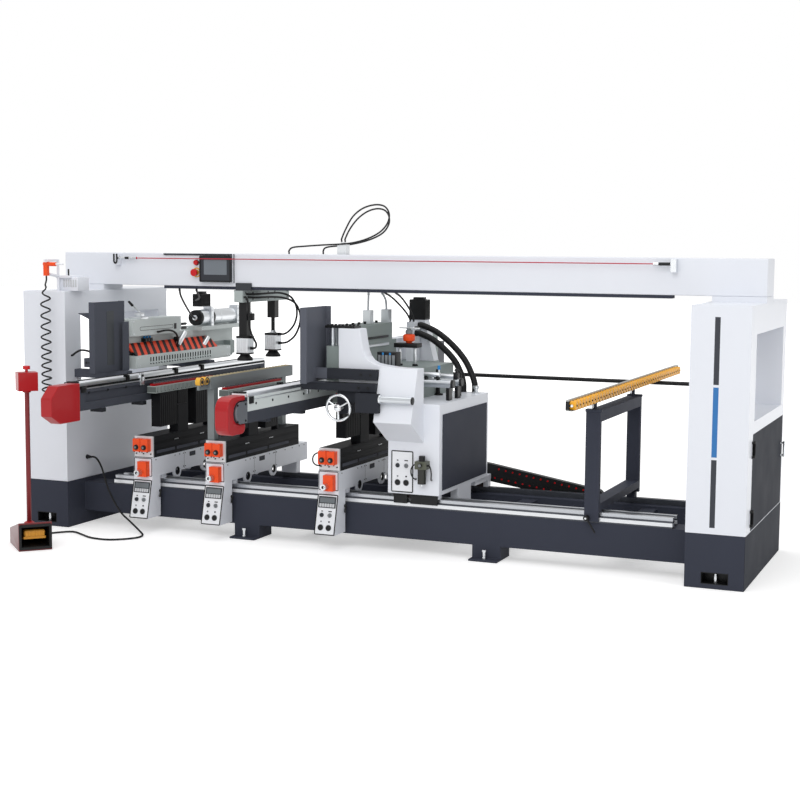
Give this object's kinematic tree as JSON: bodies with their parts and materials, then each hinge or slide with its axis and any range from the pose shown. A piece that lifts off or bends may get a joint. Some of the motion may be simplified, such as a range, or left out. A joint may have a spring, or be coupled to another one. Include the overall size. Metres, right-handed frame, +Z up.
{
  "type": "line boring machine",
  "caption": "Long floor-standing boring machine with two end columns, an overhead beam, facing horizontal drill heads, vertical drill units on bed rails and a roller support.",
  "frame": {"origin": "on the floor, in the middle of the whole footprint", "axes": "+X along the beam to the right as seen from the operator's side, +Y to the back, +Z up"},
  "size_m": [4.478, 3.13, 1.9976],
  "materials": {
    "white_paint": "satin",
    "dark_paint": "satin",
    "black_paint": "satin",
    "red_paint": "gloss",
    "grey_paint": "satin",
    "bright_steel": "ground",
    "aluminium": "satin",
    "yellow_plastic": "satin",
    "orange_plastic": "satin",
    "red_plastic": "gloss",
    "black_plastic": "matte",
    "screen": "gloss",
    "black_rubber": "matte",
    "striped_paint": "satin"
  },
  "bodies": {
    "frame": {"bed_frame": "dark_paint", "guide_rails": "bright_steel", "levelling_bolts": "bright_steel", "left_column": "white_paint", "right_column": "white_paint", "beam": "white_paint", "cable_duct": "dark_paint", "control_station": "black_plastic", "screen_glass": "screen", "pull_wire": "red_plastic", "beam_fittings": "bright_steel", "press_unit": "aluminium", "blow_gun": "orange_plastic", "pedestal": "red_paint", "pedal_housing": "red_paint", "left_head_frame": "grey_paint", "left_guard_bracket": "dark_paint", "left_arm": "dark_paint", "left_arm_cover": "red_paint", "rear_rod": "black_paint", "drag_chain": "black_plastic", "beam_hoses": "black_rubber", "curly_hose": "black_rubber", "pedal_cable": "black_rubber"},
    "door": {"column_door": "dark_paint"},
    "left_drill_slide": {"left_drill_box": "grey_paint", "left_striped_guard": "striped_paint"},
    "unit_1": {"unit_1_carriage": "white_paint", "unit_1_base": "black_paint", "unit_1_counters": "orange_plastic"},
    "unit_1_handle": {"unit_1_handle": "aluminium"},
    "unit_1_lift": {"unit_1_drill_head": "grey_paint"},
    "unit_2": {"unit_2_carriage": "white_paint", "unit_2_base": "black_paint", "unit_2_counters": "orange_plastic", "middle_roller_bar": "yellow_plastic"},
    "unit_2_handle": {"unit_2_handle": "aluminium"},
    "unit_2_lift": {"unit_2_drill_head": "grey_paint"},
    "unit_3": {"unit_3_carriage": "white_paint", "unit_3_base": "black_paint", "unit_3_counters": "orange_plastic"},
    "unit_3_handle": {"unit_3_handle": "aluminium"},
    "unit_3_lift": {"unit_3_drill_head": "grey_paint"},
    "right_head": {"right_cabinet": "white_paint", "right_side_panel": "dark_paint", "right_head_frame": "grey_paint", "right_guard_bracket": "dark_paint", "right_arm": "dark_paint", "right_arm_cover": "red_paint", "right_fittings": "bright_steel", "head_hoses": "black_rubber"},
    "right_drill_slide": {"right_drill_box": "grey_paint"},
    "handwheel": {"handwheel": "bright_steel"},
    "roller_support": {"roller_frame": "dark_paint", "roller_bar": "yellow_plastic"},
    "clamp_lever": {"clamp_lever": "black_plastic"},
    "estop_button": {"estop_button": "red_plastic"},
    "press_feet": {"press_feet": "black_rubber"},
    "pedal": {"pedal": "orange_plastic"},
    "pedestal_button": {"pedestal_button": "red_plastic"}
  },
  "joints": [
    {"name": "door_hinge", "type": "hinge", "parent": "frame", "child": "door", "pos_m": [2.2213, -0.602, 0.54], "axis": [0, 0, -1], "range_deg": [0, 110]},
    {"name": "left_drill_feed", "type": "slide", "parent": "frame", "child": "left_drill_slide", "axis": [1, 0, 0], "range_m": [0, 0.06]},
    {"name": "unit_1_travel", "type": "slide", "parent": "frame", "child": "unit_1", "axis": [1, 0, 0], "range_m": [0, 0.15]},
    {"name": "unit_2_travel", "type": "slide", "parent": "frame", "child": "unit_2", "axis": [1, 0, 0], "range_m": [-0.15, 0.3]},
    {"name": "unit_3_travel", "type": "slide", "parent": "frame", "child": "unit_3", "axis": [1, 0, 0], "range_m": [-0.06, 0]},
    {"name": "unit_1_lift", "type": "slide", "parent": "unit_1", "child": "unit_1_lift", "axis": [0, 0, 1], "range_m": [0, 0.06]},
    {"name": "unit_1_handle_turn", "type": "hinge", "parent": "unit_1", "child": "unit_1_handle", "pos_m": [-1.423, -0.715, 0.376], "axis": [0, -1, 0], "continuous": true},
    {"name": "unit_2_lift", "type": "slide", "parent": "unit_2", "child": "unit_2_lift", "axis": [0, 0, 1], "range_m": [0, 0.06]},
    {"name": "unit_2_handle_turn", "type": "hinge", "parent": "unit_2", "child": "unit_2_handle", "pos_m": [-0.923, -0.715, 0.376], "axis": [0, -1, 0], "continuous": true},
    {"name": "unit_3_lift", "type": "slide", "parent": "unit_3", "child": "unit_3_lift", "axis": [0, 0, 1], "range_m": [0, 0.06]},
    {"name": "unit_3_handle_turn", "type": "hinge", "parent": "unit_3", "child": "unit_3_handle", "pos_m": [-0.173, -0.715, 0.376], "axis": [0, -1, 0], "continuous": true},
    {"name": "right_head_travel", "type": "slide", "parent": "frame", "child": "right_head", "axis": [1, 0, 0], "range_m": [0, 0.06]},
    {"name": "right_drill_feed", "type": "slide", "parent": "right_head", "child": "right_drill_slide", "axis": [-1, 0, 0], "range_m": [0, 0.06]},
    {"name": "handwheel_turn", "type": "hinge", "parent": "right_head", "child": "handwheel", "pos_m": [-0.063, -0.775, 0.842], "axis": [0, -1, 0], "continuous": true},
    {"name": "roller_support_travel", "type": "slide", "parent": "frame", "child": "roller_support", "axis": [1, 0, 0], "range_m": [-0.1, 0.3]},
    {"name": "clamp_lever_turn", "type": "hinge", "parent": "roller_support", "child": "clamp_lever", "pos_m": [1.336, -0.591, 0.292], "axis": [0, -1, 0], "range_deg": [-60, 60]},
    {"name": "estop_push", "type": "slide", "parent": "frame", "child": "estop_button", "axis": [0, 1, 0], "range_m": [0, 0.006], "stiffness_N_per_m": 1500},
    {"name": "press_stroke", "type": "slide", "parent": "frame", "child": "press_feet", "axis": [0, 0, -1], "range_m": [0, 0.04]},
    {"name": "pedal_push", "type": "hinge", "parent": "frame", "child": "pedal", "pos_m": [-1.83193, -1.25619, 0.045], "axis": [0.682, 0.7314, 0], "range_deg": [0, 10], "stiffness_Nm_per_rad": 8, "springref_deg": -11.46},
    {"name": "pedestal_button_push", "type": "slide", "parent": "frame", "child": "pedestal_button", "axis": [0, 0, -1], "range_m": [0, 0.006], "stiffness_N_per_m": 1500, "springref_m": -0.001}
  ]
}
